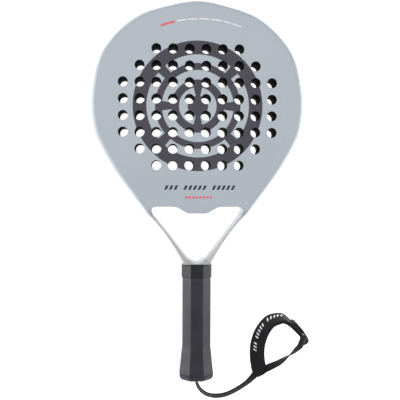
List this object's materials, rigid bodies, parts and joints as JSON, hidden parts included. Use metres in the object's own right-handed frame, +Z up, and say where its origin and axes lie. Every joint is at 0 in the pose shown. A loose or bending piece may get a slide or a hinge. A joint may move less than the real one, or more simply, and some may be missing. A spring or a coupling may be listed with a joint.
{
  "type": "padel racket",
  "caption": "Teardrop padel racket with a drilled foam-core face, an open triangular throat, a ribbed collar, an octagonal grip and a padded wrist strap with a fastening tab.",
  "frame": {"origin": "On the table under the middle of the racket, which lies on its back face: the centre of the bottom of the racket's box, measured without the strap.", "axes": "+X across the head, +Y from the butt towards the tip of the head, +Z up from the back face to the front face."},
  "size_m": [0.2701, 0.4851, 0.038],
  "materials": {
    "silver_frame": "light silver lacquer over a carbon laminate",
    "face_paint": "satin blue-grey lacquer",
    "dark_inlay": "dark grey woven laminate under clear satin lacquer",
    "core_foam": "black closed-cell foam, cut holes",
    "filler_foam": "cream rigid foam",
    "bare_laminate": "unpainted laminate",
    "collar_rubber": "ribbed matte rubber",
    "grip_rubber": "tacky grey polyurethane with a soft sheen",
    "cap_rubber": "moulded matte rubber",
    "webbing": "black woven polyester webbing",
    "pad_fabric": "black knit over thin foam",
    "lining_fabric": "soft black lining",
    "fastener": "black hook-and-loop tape",
    "thread": "dark stitching thread"
  },
  "bodies": {
    "racket": {"frame_tube": "silver_frame", "frame_foam": "filler_foam", "throat_bridge": "face_paint", "throat_yoke": "silver_frame", "eva_core": "core_foam", "front_skin": "face_paint", "back_skin": "face_paint", "front_inlay": "dark_inlay", "back_inlay": "dark_inlay", "handle_shaft": "bare_laminate", "handle_foam": "filler_foam", "grip_collar": "collar_rubber", "hand_grip": "grip_rubber", "butt_cap": "cap_rubber", "strap_knot": "webbing"},
    "strap": {"strap_tail": "webbing", "wrist_pad": "pad_fabric", "pad_lining": "lining_fabric", "pad_binding": "webbing", "loop_patch": "fastener", "strap_keeper": "webbing", "bar_tacks": "thread", "strap_return": "webbing"},
    "tab": {"fastening_tab": "webbing", "hook_patch": "fastener"}
  },
  "joints": [
    {"name": "strap_swing", "type": "hinge", "parent": "racket", "child": "strap", "pos_m": [0, -0.2272, 0.019], "axis": [0, 0, 1], "range_deg": [-40, 25]},
    {"name": "tab_peel", "type": "hinge", "parent": "strap", "child": "tab", "pos_m": [0.12, -0.1586, 0.0104], "axis": [-0.1033, -0.1097, 0.9886], "range_deg": [0, 60]}
  ]
}
